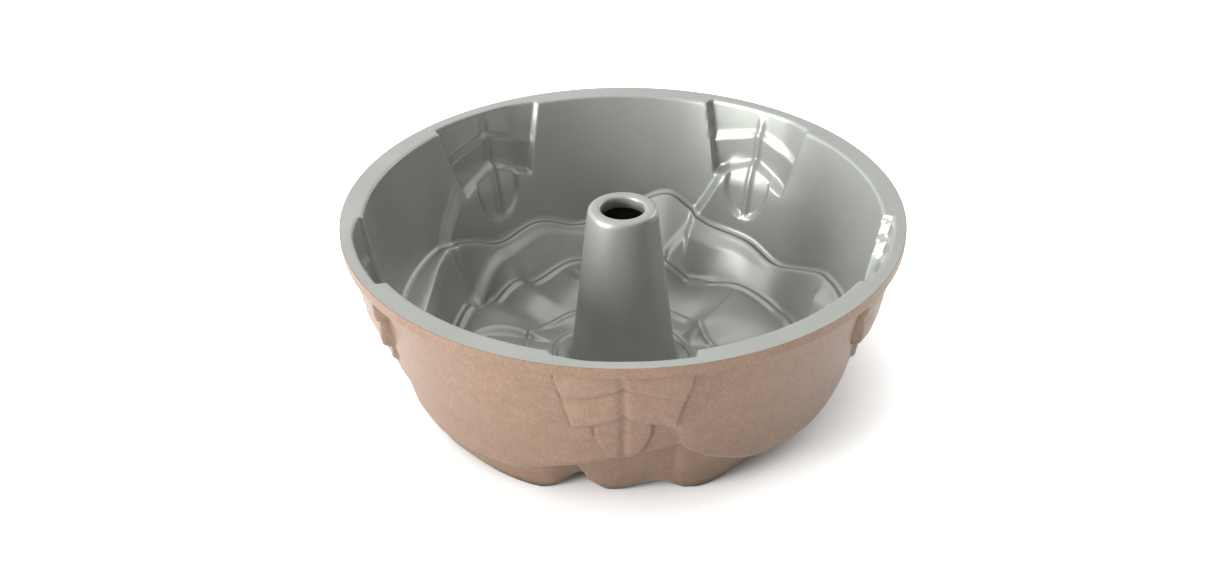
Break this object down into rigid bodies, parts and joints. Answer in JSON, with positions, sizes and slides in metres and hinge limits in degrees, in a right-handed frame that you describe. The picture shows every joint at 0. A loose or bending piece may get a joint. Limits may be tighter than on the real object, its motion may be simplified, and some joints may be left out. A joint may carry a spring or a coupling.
{
  "type": "bundt pan",
  "caption": "Ring cake pan with a centre tube, cast in the shape of an open rose with overlapping petals and veined leaves under a flat round rim.",
  "frame": {"origin": "on the axis of the centre tube, in the plane that the pan stands on", "axes": "+Z along the centre tube's axis, out of the pan's mouth; -Y towards the front, where one leaf of the outer row is centred; +X to the right"},
  "size_m": [0.254, 0.254, 0.0885],
  "materials": {
    "cast_aluminium": "as cast, bead blasted",
    "nonstick": "satin grey non-stick coating",
    "metallic_finish": "fine metallic flake in a satin rose-gold coating"
  },
  "bodies": {
    "root": {"aluminium_casting": "cast_aluminium", "nonstick_lining": "nonstick", "metallic_finish": "metallic_finish"}
  },
  "joints": []
}
